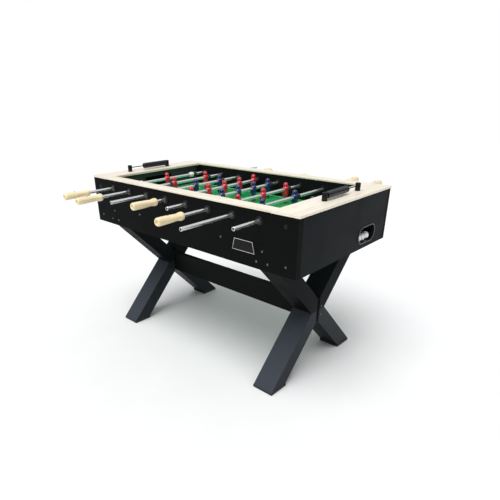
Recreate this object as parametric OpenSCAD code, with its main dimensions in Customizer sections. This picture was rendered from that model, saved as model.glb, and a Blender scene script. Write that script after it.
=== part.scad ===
// Foosball table with crossed legs, eight player rods and an end ball return.
// +X runs along the table, the red team's handles are on the -Y side, +Z is up.
// The origin is on the floor under the middle of the table.

/* [Table] */
// Length over the top frame
table_len = 1397; // [1390:1:1410]
// Width over the top frame
table_wid = 749; // [745:1:755]
// Height from the floor to the top frame
table_h = 876; // [870:1:880]
// Height of the lower edge of the cabinet
cabinet_z = 622; // [615:1:630]

/* [Boards] */
// Thickness of the top frame
frame_t = 10; // [9:1:12]
// Width of each end rail of the top frame
end_rail_w = 135.5; // [133:0.5:136]
// Thickness of the outer cabinet panels
panel_t = 25; // [22:1:26]
// How far the top frame stands out past the panels
overhang = 2.5; // [2.3:0.1:3.5]
// Thickness of the inner side walls
wall_t = 32; // [30:1:33]
// Thickness of the playing field board
field_t = 12; // [9:1:15]
// Thickness of the goal walls
goal_wall_t = 18; // [16:1:18]
// Width of the goal mouth
goal_w = 200; // [190:5:210]
// Height of the goal mouth above the field
goal_h = 84; // [78:1:90]

/* [Rods] */
// Distance between neighbouring rods
rod_pitch = 145; // [144:0.5:146]
// Distance from the top frame down to the rod axis
rod_drop = 50; // [50:0.5:51]
// Diameter of the rods
rod_d = 15.9; // [15.9:0.1:16]
// Wall thickness of the hollow rods
rod_wall = 2; // [1.5:0.5:3]
// Radius swept by a player's foot
foot_r = 66; // [62:1:66]
// Gap between the feet and the field
foot_gap = 6; // [5:0.5:8]
// Height of a player's head above the rod axis
head_r = 35; // [33:1:37]
// Length of a handle
grip_len = 138; // [125:1:145]

/* [Legs] */
// Lean of the leg arms from the vertical, in degrees
leg_lean = 44; // [43.5:0.1:44.5]
// Width of a leg arm in the plane of its cross
leg_w = 78; // [74:1:80]
// Thickness of a leg arm along the table
leg_t = 110; // [100:2:112]
// Distance from the middle of the table to the outer face of a leg cross
leg_x = 586; // [580:1:590]
// Height of the middle of a leg cross
cross_z = 320; // [316:1:324]
// Thickness of the foot pads
pad_t = 14; // [10:1:16]
// Thickness of the stretcher board
stretcher_t = 24; // [18:2:26]
// Height of the stretcher board
stretcher_h = 120; // [110:2:124]

/* [Ball return] */
// Diameter of a ball
ball_d = 35; // [34:0.5:36]
// Width of the ball cup opening
cup_w = 154; // [150:2:158]
// Height of the ball cup opening
cup_h = 78; // [75:1:80]
// Distance of the cup from the middle of the end panel
cup_y = 180; // [176:1:184]
// Height of the middle of the cup
cup_z = 685; // [682:1:688]

/* [Scorers] */
// Number of beads on a scorer
bead_count = 10; // [8:1:10]
// Length of a bead
bead_len = 16.5; // [15:0.1:17]
// Diameter of a bead
bead_d = 30; // [26:1:32]
// Distance between the middles of a scorer's posts
post_span = 276; // [270:2:290]

/* [Hidden] */
$fn = 48;
LINES = ["red_goalie", "red_defence", "blue_attack", "red_midfield",
         "blue_midfield", "red_attack", "blue_defence", "blue_goalie"];
// Players on each rod, from -X to +X
MEN = [1, 2, 3, 5, 5, 3, 2, 1];
// Side of each rod's handle along Y
SIDE = [-1, -1, 1, -1, 1, -1, 1, 1];
// Where each rod rests along Y
REST = [0, 54, -38, 38, -13, 8, -54, 0];
ROD_PARTS = ["rod", "men", "grip", "bumpers", "liners"];
TABLE_NODES = [
    "front_panel", "back_panel", "left_end_panel", "right_end_panel",
    "inner_frame", "playfield", "goal_walls", "side_rails", "end_rails",
    "rod_bearings", "ball_returns", "balls", "upper_leg_arms",
    "lower_leg_arms", "stretcher", "foot_pads", "bolts", "scorer_frames",
    "left_score_beads", "right_score_beads"];

half_len = table_len / 2;
half_wid = table_wid / 2;
frame_z = table_h - frame_t;
// Outer faces of the cabinet
face_x = half_len - overhang;
face_y = half_wid - overhang;
panel_in_x = face_x - panel_t;
panel_in_y = face_y - panel_t;
// The playing well
well_y = panel_in_y - wall_t;
rail_in_x = half_len - end_rail_w;
rod_z = table_h - rod_drop;
field_z = rod_z - foot_r - foot_gap;
field_low_z = field_z - field_t;
goal_clear = 11.5;
goal_x = 3.5 * rod_pitch + foot_r + goal_clear;
goal_out_x = goal_x + goal_wall_t;
// Rod bearings
housing_r = 13;
liner_r = 10;
fit_gap = 0.05;
outer_flange_r = 18;
outer_flange_t = 4;
inner_flange_r = 17;
inner_flange_t = 3;
liner_rim_r = 12.5;
liner_rim_t = 2;
liner_rim_gap = 0.4;
rod_r = rod_d / 2;
// Players
man_half = 20;
man_depth = 14;
bumper_len = 12;
bumper_r = 13.5;
goalie_collar_y = 182;
goalie_collar_r = 14;
goalie_bumper_y = 206;
goalie_bumper_len = 26;
plug_len = 15;
plug_recess = 2.5;
pin_r = 2;
man_pin_half = 9.5;
// How deep the rod sits in its handle, and the recess in the handle's end
grip_over_rod = 120;
grip_recess = 6;
// Where the handle's screw is, and how far it reaches from the rod axis
grip_screw_y = 80;
grip_screw_len = 16.6;
// Legs
lean_run = tan(leg_lean);
arm_half = leg_w / 2 / cos(leg_lean);
slot_half = stretcher_t / 2;
arm_top_z = field_low_z - 20;
batten_h = 42;
batten_w = 40;
batten_x = [-292, 0, 292];
block_w = 40;
block_h = 95;
bolt_r = 3;
head_r_small = 5;
head_r_large = 9;
// Scorers
post_r = 12;
post_h = 35;
bead_z = table_h + 22;
score_rod_r = 2.5;
scorer_x = (half_len + rail_in_x) / 2;
scorer_y = 32;
bead_gap = 0.5;
stack_len = bead_count * bead_len;
// Ball return
skin = 3;
cup_back_x = panel_in_x - 26;
cup_rim = 3;
chute_x = goal_out_x + 1;
chute_start_y = -goal_w / 2 - 6;
chute_end_y = cup_y + 40;
chute_start_z = field_z - 19;
chute_end_z = cup_z - 6;
chute_lip = 16;
chute_gap = 0.5;
cup_hole_y0 = cup_y - 28;
cup_hole_y1 = cup_y + 32;
cup_hole_top = cup_z + cup_h / 2 - 4;
// How much higher the two outer balls lie, on the round ends of the cup
side_ball_rise = 1;

function rod_x(k) = (k - 3.5) * rod_pitch;
// Distance between the players of a rod with n players
function man_pitch(n) = n == 5 ? 120 : n == 3 ? 185 : n == 2 ? 245 : 0;
// How far the bare end of a centred rod with n players is from the cabinet
function rod_reach(n) = n == 5 ? 98 : n == 3 ? 169 : n == 2 ? 230 : 153;
// How far the handle of a centred rod with n players is from the cabinet
function grip_reach(n) = n == 5 ? 92 : n == 3 ? 153 : n == 2 ? 218 : 150;
function man_ys(n) = [for (i = [0 : n - 1]) (i - (n - 1) / 2) * man_pitch(n)];
function outer_man_y(n) = (n - 1) / 2 * man_pitch(n);
function grip_start(n) = face_y + grip_reach(n);

// ---- helpers -------------------------------------------------------------

// A board between two corners
module board(low, high) {
    translate(low) cube(high - low);
}

// A solid cylinder along Y
module y_cyl(r, y0, y1) {
    translate([0, y0, 0]) rotate([-90, 0, 0]) cylinder(h = y1 - y0, r = r);
}

// A tube along Y
module y_tube(r_out, r_in, y0, y1) {
    difference() {
        y_cyl(r_out, y0, y1);
        y_cyl(r_in, y0 - 1, y1 + 1);
    }
}

// A profile drawn in (Y, Z), made solid from x0 to x1
module yz_slab(x0, x1) {
    translate([x0, 0, 0]) rotate([90, 0, 90]) linear_extrude(x1 - x0) children();
}

// A profile drawn in (X, Z), made solid from y0 to y1
module xz_slab(y0, y1) {
    translate([0, y1, 0]) rotate([90, 0, 0]) linear_extrude(y1 - y0) children();
}

// The same thing on the four corners
module four_corners() {
    for (mx = [0, 1], my = [0, 1]) mirror([mx, 0, 0]) mirror([0, my, 0]) children();
}

// The same thing at both ends, turned half a turn about Z
module both_ends() {
    for (turn = [0, 180]) rotate([0, 0, turn]) children();
}

// A slot shape with round ends
module stadium(w, h) {
    square([w - h, h], center = true);
    for (s = [-1, 1]) translate([s * (w - h) / 2, 0]) circle(d = h);
}

// ---- bolts ---------------------------------------------------------------

// The panel bolts of one quarter: [x, z, shank length, head radius]
PANEL_BOLTS = [
    [644, 664, 60, head_r_small], [524, arm_top_z - 20, 45, head_r_small],
    [554, 653, 60, head_r_small], [495, 653, 60, head_r_small],
    [batten_x[2], field_low_z - 24, 60, head_r_small], [635, 825, 50, head_r_large]];
cross_bolt_len = 50;
// Places of the bolts on the outer face of a leg cross: [y, z]
CROSS_BOLTS = [[28, cross_z + 13], [28, cross_z - 32]];

// The shanks of all the bolts, which are also the holes they need
module bolt_shanks(r) {
    four_corners() {
        for (b = PANEL_BOLTS)
            translate([b[0], face_y - b[2], b[1]]) rotate([-90, 0, 0]) cylinder(h = b[2], r = r);
    }
    both_ends() {
        for (b = CROSS_BOLTS)
            translate([leg_x - cross_bolt_len, b[0], b[1]]) rotate([0, 90, 0])
                cylinder(h = cross_bolt_len, r = r);
    }
}

// A domed bolt head with a hexagon socket, standing on the XY plane
module bolt_head(r) {
    difference() {
        rotate_extrude() polygon([[0, 0], [r, 0], [r, 0.8], [r * 0.7, 2.2], [0, 2.6]]);
        translate([0, 0, 1.2]) cylinder(h = 3, r = r * 0.4, $fn = 6);
    }
}

module bolts() {
    color("dimgray") {
        bolt_shanks(bolt_r);
        four_corners() {
            for (b = PANEL_BOLTS)
                translate([b[0], face_y, b[1]]) rotate([-90, 0, 0]) bolt_head(b[3]);
        }
        both_ends() {
            for (b = CROSS_BOLTS)
                translate([leg_x, b[0], b[1]]) rotate([0, 90, 0]) bolt_head(head_r_small);
        }
    }
}

// ---- cabinet -------------------------------------------------------------

// The holes that the eight bearing housings need
module bearing_holes() {
    for (k = [0 : 7]) translate([rod_x(k), 0, rod_z]) y_cyl(housing_r, -half_wid, half_wid);
}

// One long outer panel, on the -Y side
module long_panel() {
    difference() {
        board([-face_x, -face_y, cabinet_z], [face_x, -panel_in_y, frame_z]);
        bearing_holes();
        bolt_shanks(bolt_r);
    }
}

module front_panel() {
    color([0.1, 0.1, 0.1]) long_panel();
}

module back_panel() {
    color([0.1, 0.1, 0.1]) mirror([0, 1, 0]) long_panel();
}

// One end panel with the opening for its ball cup, on the +X side
module end_panel() {
    difference() {
        board([panel_in_x, -panel_in_y, cabinet_z], [face_x, panel_in_y, frame_z]);
        yz_slab(panel_in_x - 1, face_x + 1) translate([cup_y, cup_z]) stadium(cup_w, cup_h);
    }
}

module left_end_panel() {
    color([0.12, 0.13, 0.14]) rotate([0, 0, 180]) end_panel();
}

module right_end_panel() {
    color([0.12, 0.13, 0.14]) end_panel();
}

// Side walls of the well, battens under the field and corner blocks
module inner_frame() {
    color([0.07, 0.07, 0.07]) difference() {
        union() {
            for (s = [0, 1]) mirror([0, s, 0])
                board([-panel_in_x, -panel_in_y, field_low_z], [panel_in_x, -well_y, frame_z]);
            for (x = batten_x)
                board([x - batten_w / 2, -panel_in_y, field_low_z - batten_h],
                      [x + batten_w / 2, panel_in_y, field_low_z]);
            four_corners()
                board([panel_in_x - block_w, panel_in_y - block_w, field_low_z - block_h],
                      [panel_in_x, panel_in_y, field_low_z]);
        }
        bearing_holes();
        bolt_shanks(bolt_r);
    }
}

module playfield() {
    color([0.1, 0.5, 0.24])
        board([-goal_out_x, -well_y, field_low_z], [goal_out_x, well_y, field_z]);
}

module goal_walls() {
    color([0.07, 0.07, 0.07]) both_ends() yz_slab(goal_x, goal_out_x)
        polygon([[-well_y, field_z], [-goal_w / 2, field_z],
                 [-goal_w / 2, field_z + goal_h], [goal_w / 2, field_z + goal_h],
                 [goal_w / 2, field_z], [well_y, field_z],
                 [well_y, frame_z], [-well_y, frame_z]]);
}

module side_rails() {
    color([0.93, 0.87, 0.75]) for (s = [0, 1]) mirror([0, s, 0])
        board([-rail_in_x, -half_wid, frame_z], [rail_in_x, -well_y, table_h]);
}

module end_rails() {
    color([0.93, 0.87, 0.75]) difference() {
        both_ends() board([rail_in_x, -half_wid, frame_z], [half_len, half_wid, table_h]);
        post_screws(bolt_r);
    }
}

// ---- bearings ------------------------------------------------------------

// One bearing on the -Y side: a flanged housing and the ring that clamps it
module rod_bearing() {
    difference() {
        union() {
            y_cyl(housing_r, -face_y, -well_y + inner_flange_t);
            y_cyl(outer_flange_r, -face_y - outer_flange_t, -face_y);
        }
        y_cyl(liner_r, -half_wid - 10, half_wid);
    }
    y_tube(inner_flange_r, housing_r, -well_y, -well_y + inner_flange_t);
}

module rod_bearings() {
    color([0.05, 0.05, 0.05]) for (k = [0 : 7]) translate([rod_x(k), 0, rod_z])
        for (s = [0, 1]) mirror([0, s, 0]) rod_bearing();
}

// The two liners that turn with a rod, one in each bearing of rod k
module rod_liners(k) {
    rim_y = -face_y - outer_flange_t - liner_rim_gap;
    color([0.16, 0.16, 0.17]) translate([rod_x(k), 0, rod_z])
        for (s = [0, 1]) mirror([0, s, 0]) difference() {
            union() {
                y_cyl(liner_r - fit_gap, rim_y, -well_y);
                y_cyl(liner_rim_r, rim_y - liner_rim_t, rim_y);
            }
            y_cyl(rod_r + fit_gap, rim_y - 10, -well_y + 10);
        }
}

// ---- player rods ---------------------------------------------------------

// Places a shape on rod k, where that rod rests, with the handle towards -Y
module on_rod(k) {
    translate([rod_x(k), REST[k], rod_z]) mirror([0, SIDE[k] > 0 ? 1 : 0, 0]) children();
}

// The pins that hold the players and the handle of a rod with n players
module rod_pins(n, r) {
    for (y = man_ys(n)) translate([-man_pin_half, y, 0]) rotate([0, 90, 0])
        cylinder(h = 2 * man_pin_half, r = r);
    translate([0, -grip_start(n) - grip_screw_y, 0]) cylinder(h = grip_screw_len, r = r);
}

// A hollow rod with its pins
module rod_tube(k) {
    n = MEN[k];
    color([0.8, 0.82, 0.84]) on_rod(k) {
        difference() {
            y_tube(rod_r, rod_r - rod_wall, -grip_start(n) - grip_over_rod, face_y + rod_reach(n));
            rod_pins(n, pin_r);
        }
        rod_pins(n, pin_r);
    }
}

// A half outline, listed upwards, with its mirror image listed downwards
function both_sides(half) = concat(half, [for (i = [len(half) - 1 : -1 : 0]) [-half[i][0], half[i][1]]]);

// Side outline of a player in (X, Z)
module man_side() {
    side = [[8, -foot_r + 1], [9, -foot_r + 12], [6.5, -foot_r + 20], [8.5, -26], [12, -12],
            [man_depth, 4], [12, 11], [9.5, 14], [12, 19], [12, 27], [9, head_r - 4],
            [4, head_r]];
    polygon(both_sides(side));
}

// Front outline of a player in (Y, Z)
module man_front() {
    front = [[11, -foot_r + 1], [12, -foot_r + 14], [9.5, -foot_r + 24], [11.5, -26], [16, -12],
             [man_half, 0], [man_half, 8], [16, 12], [9.5, 14], [12, 19], [12, 27],
             [9, head_r - 4], [4, head_r]];
    polygon(both_sides(front));
}

module man() {
    difference() {
        intersection() {
            xz_slab(-man_half - 1, man_half + 1) man_side();
            yz_slab(-20, 20) man_front();
        }
        y_cyl(rod_r, -30, 30);
        translate([-man_pin_half, 0, 0]) rotate([0, 90, 0]) cylinder(h = 2 * man_pin_half, r = pin_r);
    }
}

// The players of rod k
module rod_men(k) {
    n = MEN[k];
    color(SIDE[k] < 0 ? [0.82, 0.1, 0.14] : [0.08, 0.14, 0.5])
        on_rod(k) for (y = man_ys(n)) translate([0, y, 0]) man();
}

// Outline of a turned handle in (radius, distance from its rod end)
module grip_profile() {
    polygon([[rod_r, 0], [12, 0], [15.2, 1.6], [17.4, 5], [18, 11], [17.8, 17], [16.5, 24],
             [15.4, 31], [15, 38], [15.4, 48], [16.4, 64], [17.3, 84], [17.8, 106],
             [17.8, 124], [17, grip_len - 4], [13.5, grip_len],
             [9, grip_len], [9, grip_len - grip_recess], [0, grip_len - grip_recess],
             [0, grip_over_rod], [rod_r, grip_over_rod]]);
}

// The handle of rod k
module rod_grip(k) {
    n = MEN[k];
    color([0.9, 0.78, 0.56]) on_rod(k) difference() {
        translate([0, -grip_start(n), 0]) rotate([90, 0, 0]) rotate_extrude() grip_profile();
        rod_pins(n, pin_r);
    }
}

// The rubber bumpers, the goalie's stop collars and the end plug of rod k
module rod_bumpers(k) {
    n = MEN[k];
    end_y = face_y + rod_reach(n);
    color([0.06, 0.06, 0.06]) on_rod(k) {
        for (s = [0, 1]) mirror([0, s, 0]) {
            if (n == 1) {
                y_tube(goalie_collar_r, rod_r, goalie_collar_y, goalie_bumper_y);
                y_tube(bumper_r, rod_r, goalie_bumper_y, goalie_bumper_y + goalie_bumper_len);
            } else {
                start_y = outer_man_y(n) + man_half + 1;
                y_tube(bumper_r, rod_r, start_y, start_y + bumper_len);
            }
        }
        y_cyl(rod_r - rod_wall, end_y - plug_recess - plug_len, end_y - plug_recess);
    }
}

// ---- legs ----------------------------------------------------------------

// Outline of the upper arm on the -Y side in (Y, Z)
module upper_arm_outline() {
    inner_y = (arm_top_z - cross_z) * lean_run - arm_half;
    polygon([[-slot_half, cross_z], [-slot_half, cross_z + (slot_half + arm_half) / lean_run],
             [-inner_y, arm_top_z], [-panel_in_y, arm_top_z],
             [-panel_in_y, cross_z + (panel_in_y - arm_half) / lean_run],
             [-arm_half, cross_z]]);
}

// Outline of the lower arm on the -Y side in (Y, Z)
module lower_arm_outline() {
    foot_y = (cross_z - pad_t) * lean_run;
    polygon([[-slot_half, cross_z], [-slot_half, cross_z - (slot_half + arm_half) / lean_run],
             [-foot_y + arm_half, pad_t], [-foot_y - arm_half, pad_t],
             [-arm_half, cross_z]]);
}

module upper_leg_arms() {
    color([0.12, 0.13, 0.14]) difference() {
        four_corners() yz_slab(leg_x - leg_t, leg_x) mirror([1, 0]) upper_arm_outline();
        bolt_shanks(bolt_r);
    }
}

module lower_leg_arms() {
    color([0.12, 0.13, 0.14]) difference() {
        four_corners() yz_slab(leg_x - leg_t, leg_x) mirror([1, 0]) lower_arm_outline();
        bolt_shanks(bolt_r);
    }
}

module stretcher() {
    color([0.08, 0.09, 0.1])
        board([-leg_x + 6, -slot_half, cross_z + 2 - stretcher_h / 2],
              [leg_x - 6, slot_half, cross_z + 2 + stretcher_h / 2]);
}

module foot_pads() {
    foot_y = (cross_z - pad_t) * lean_run;
    color([0.04, 0.04, 0.04]) four_corners()
        board([leg_x - leg_t - 2, foot_y - arm_half - 2, 0], [leg_x + 2, foot_y + arm_half + 2, pad_t]);
}

// ---- ball return ---------------------------------------------------------

// The cup in an end panel, open outwards, with a hole at the back for the balls
module ball_cup() {
    difference() {
        union() {
            yz_slab(cup_back_x, face_x) translate([cup_y, cup_z]) stadium(cup_w, cup_h);
            yz_slab(face_x, face_x + overhang - 0.3)
                translate([cup_y, cup_z]) stadium(cup_w + 2 * cup_rim, cup_h + 2 * cup_rim);
        }
        yz_slab(cup_back_x + skin, half_len + 1)
            translate([cup_y, cup_z]) stadium(cup_w - 2 * skin, cup_h - 2 * skin);
        board([cup_back_x - 1, cup_hole_y0, chute_end_z],
              [cup_back_x + skin + 1, cup_hole_y1, cup_hole_top]);
    }
}

// Height of the chute's floor at a distance y from the middle
function chute_z(y) = chute_start_z
    + (chute_end_z - chute_start_z) * (y - chute_start_y) / (chute_end_y - chute_start_y);

// The chute's whole run, between two heights above its sloping floor
module chute_run(low, high) {
    y0 = chute_start_y - 1;
    y1 = chute_end_y + 1;
    yz_slab(chute_x - 1, panel_in_x + 1) polygon([
        [y0, chute_z(y0) + low], [y1, chute_z(y1) + low],
        [y1, chute_z(y1) + high], [y0, chute_z(y0) + high]]);
}

// The sloping channel that takes balls from the goal to the cup
module ball_chute() {
    narrow_x = cup_back_x - chute_gap;
    catch_x = panel_in_x - chute_gap;
    catch_end_y = cup_y - cup_w / 2 - 2;
    difference() {
        intersection() {
            chute_run(-skin, chute_lip);
            translate([0, 0, cabinet_z]) linear_extrude(rod_z - cabinet_z) polygon([
                [chute_x, chute_start_y], [catch_x, chute_start_y], [catch_x, catch_end_y],
                [narrow_x, catch_end_y], [narrow_x, chute_end_y], [chute_x, chute_end_y]]);
        }
        intersection() {
            chute_run(0, chute_lip + 1);
            union() {
                board([chute_x + skin, chute_start_y + skin, cabinet_z],
                      [catch_x + 1, catch_end_y - skin, rod_z]);
                board([chute_x + skin, chute_start_y + skin, cabinet_z],
                      [narrow_x + 1, chute_end_y - skin, rod_z]);
            }
        }
    }
}

module ball_returns() {
    color([0.05, 0.05, 0.05]) both_ends() {
        ball_cup();
        ball_chute();
    }
}

module balls() {
    ball_x = (cup_back_x + face_x + skin) / 2;
    ball_z = cup_z - cup_h / 2 + skin + ball_d / 2 + 0.2;
    color([0.95, 0.95, 0.93]) both_ends() for (i = [-1 : 1])
        translate([ball_x, cup_y + i * (ball_d + 0.5), ball_z + abs(i) * side_ball_rise])
            sphere(d = ball_d);
}

// ---- scorers -------------------------------------------------------------

// The screws that hold the posts, which are also their holes in the end rails
module post_screws(r) {
    both_ends() for (s = [-1, 1])
        translate([scorer_x, scorer_y + s * post_span / 2, frame_z]) cylinder(h = frame_t, r = r);
}

// One post with a rounded top
module score_post() {
    rotate_extrude() polygon([[0, 0], [post_r, 0], [post_r, post_h - 3], [post_r - 1, post_h - 1],
                              [post_r - 3, post_h], [0, post_h]]);
}

module scorer_frames() {
    color([0.06, 0.06, 0.06]) both_ends() {
        translate([scorer_x, scorer_y, 0]) {
            for (s = [-1, 1]) translate([0, s * post_span / 2, table_h]) score_post();
            translate([0, 0, bead_z]) y_cyl(score_rod_r, -post_span / 2, post_span / 2);
        }
    }
    color([0.06, 0.06, 0.06]) post_screws(bolt_r);
}

// A stack of beads that starts at y = 0 and runs along +Y
module bead_stack() {
    for (i = [0 : bead_count - 1]) translate([0, i * bead_len, 0]) rotate([-90, 0, 0])
        rotate_extrude() polygon([[score_rod_r + fit_gap, 0], [bead_d / 2 - 2, 0], [bead_d / 2, 2],
                                  [bead_d / 2, bead_len - 2], [bead_d / 2 - 2, bead_len],
                                  [score_rod_r + fit_gap, bead_len]]);
}

// Beads stand against the +Y post on the left and the -Y post on the right
module left_score_beads() {
    color([0.1, 0.1, 0.11])
        translate([-scorer_x, -scorer_y + post_span / 2 - post_r - bead_gap - stack_len, bead_z])
            bead_stack();
}

module right_score_beads() {
    color([0.1, 0.1, 0.11])
        translate([scorer_x, scorer_y - post_span / 2 + post_r + bead_gap, bead_z]) bead_stack();
}

// ---- nodes ---------------------------------------------------------------

front_panel();
back_panel();
left_end_panel();
right_end_panel();
inner_frame();
playfield();
goal_walls();
side_rails();
end_rails();
rod_bearings();
ball_returns();
balls();
upper_leg_arms();
lower_leg_arms();
stretcher();
foot_pads();
bolts();
scorer_frames();
left_score_beads();
right_score_beads();
for (k = [0 : 7]) {
    rod_tube(k);
    rod_men(k);
    rod_grip(k);
    rod_bumpers(k);
    rod_liners(k);
}
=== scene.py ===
"""Foosball table with crossed board legs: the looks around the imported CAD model, in metres."""

import math

import bmesh
import bpy
from mathutils import Matrix, Vector


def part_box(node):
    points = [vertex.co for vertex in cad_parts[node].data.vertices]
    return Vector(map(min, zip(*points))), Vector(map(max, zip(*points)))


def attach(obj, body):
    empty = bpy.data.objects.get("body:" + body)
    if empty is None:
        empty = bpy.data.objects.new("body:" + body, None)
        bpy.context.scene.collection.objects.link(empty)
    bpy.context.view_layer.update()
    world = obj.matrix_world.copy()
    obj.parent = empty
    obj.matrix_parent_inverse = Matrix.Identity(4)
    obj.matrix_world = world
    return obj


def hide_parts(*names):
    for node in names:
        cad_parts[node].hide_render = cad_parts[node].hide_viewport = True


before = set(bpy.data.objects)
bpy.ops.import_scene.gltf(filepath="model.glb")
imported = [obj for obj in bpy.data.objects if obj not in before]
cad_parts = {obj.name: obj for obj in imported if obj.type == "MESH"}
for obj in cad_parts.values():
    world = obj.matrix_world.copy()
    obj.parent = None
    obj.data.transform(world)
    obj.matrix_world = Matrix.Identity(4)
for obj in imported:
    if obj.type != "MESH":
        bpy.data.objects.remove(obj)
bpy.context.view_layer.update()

MM = 0.001
# Points closer together than this are one point.
SAME_PLACE = 0.001 * MM

# Each player rod, from -X to +X: its name, its number of players, and the side of its handle along Y.
ROD_LINES = [
    ("red_goalie", 1, -1),
    ("red_defence", 2, -1),
    ("blue_attack", 3, 1),
    ("red_midfield", 5, -1),
    ("blue_midfield", 5, 1),
    ("red_attack", 3, -1),
    ("blue_defence", 2, 1),
    ("blue_goalie", 1, 1),
]


# ---- places, all from the frame ---------------------------------------------

_, field_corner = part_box("playfield")
_, end_rail_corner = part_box("end_rails")
_, goal_wall_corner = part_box("goal_walls")
side_rail_corner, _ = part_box("side_rails")
front_panel_corner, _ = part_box("front_panel")
top_z = end_rail_corner[2]
rail_under_z = side_rail_corner[2]
field_z = field_corner[2]
well_y = field_corner[1]
panel_face_y = abs(front_panel_corner[1])
goal_wall_x = goal_wall_corner[0]


def middle(node, axis):
    """The middle of a CAD node's box along one axis."""
    low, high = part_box(node)
    return (low[axis] + high[axis]) / 2


# ---- mesh helpers -----------------------------------------------------------

def new_piece(name, mesh_builder, material, smooth_angle=None):
    """A new object from a bmesh, with its material, shaded smooth below an angle in degrees."""
    mesh = bpy.data.meshes.new(name)
    mesh_builder.to_mesh(mesh)
    mesh_builder.free()
    mesh.materials.append(material)
    if smooth_angle is not None:
        mesh.polygons.foreach_set("use_smooth", [True] * len(mesh.polygons))
        mesh.set_sharp_from_angle(angle=math.radians(smooth_angle))
    piece = bpy.data.objects.new(name, mesh)
    bpy.context.scene.collection.objects.link(piece)
    return piece


def add_bevel(piece, width, segments):
    """Rounds a piece's sharp edges, and keeps its flat faces shaded flat."""
    bevel = piece.modifiers.new("edges", "BEVEL")
    bevel.width = width
    bevel.segments = segments
    bevel.limit_method = "ANGLE"
    bevel.angle_limit = math.radians(40)
    shading = piece.modifiers.new("shading", "WEIGHTED_NORMAL")
    shading.weight = 100


def in_mm(points):
    """Points written in millimetres, as metres."""
    return [tuple(value * MM for value in point) for point in points]


def smooth_curve(points, steps):
    """A Catmull-Rom curve through 2-D points, with the given steps between neighbours."""
    ends = [points[0]] + list(points) + [points[-1]]
    result = []
    for i in range(1, len(ends) - 2):
        p0, p1, p2, p3 = (Vector(p) for p in ends[i - 1:i + 3])
        for step in range(steps):
            t = step / steps
            result.append(tuple(0.5 * (2 * p1 + (p2 - p0) * t + (2 * p0 - 5 * p1 + 4 * p2 - p3) * t ** 2
                                       + (3 * p1 - p0 - 3 * p2 + p3) * t ** 3)))
    result.append(points[-1])
    return result


def add_lathe(bm, profile, centre, axis, segments=40, closed=False):
    """Turns a profile of (radius, distance along axis) about an axis through centre.

    A closed profile joins its end to its start, and makes a ring."""
    axis = Vector(axis)
    side = Vector((0, 0, 1)) if abs(axis.z) < 0.5 else Vector((1, 0, 0))
    other = axis.cross(side)
    centre = Vector(centre)
    rings = []
    for radius, along in profile:
        if radius < SAME_PLACE:
            rings.append([bm.verts.new(centre + axis * along)])
            continue
        ring = []
        for i in range(segments):
            turn = 2 * math.pi * i / segments
            ring.append(bm.verts.new(centre + axis * along
                                     + radius * (math.cos(turn) * side + math.sin(turn) * other)))
        rings.append(ring)
    if closed:
        rings.append(rings[0])
    for a, b in zip(rings, rings[1:]):
        for i in range(segments):
            j = (i + 1) % segments
            corners = [a[i % len(a)], a[j % len(a)], b[j % len(b)], b[i % len(b)]]
            unique = []
            for corner in corners:
                if corner not in unique:
                    unique.append(corner)
            if len(unique) > 2:
                bm.faces.new(unique)


def add_box(bm, low, high):
    """A box between two corners."""
    size = [end - start for start, end in zip(low, high)]
    centre = [(start + end) / 2 for start, end in zip(low, high)]
    place = Matrix.Translation(centre) @ Matrix.Diagonal((*size, 1))
    bmesh.ops.create_cube(bm, size=1, matrix=place)


def finish_mesh(bm):
    """Joins doubled points and turns every face outwards."""
    bmesh.ops.remove_doubles(bm, verts=bm.verts, dist=SAME_PLACE)
    bmesh.ops.recalc_face_normals(bm, faces=bm.faces)


# ---- material helpers -------------------------------------------------------

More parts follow.
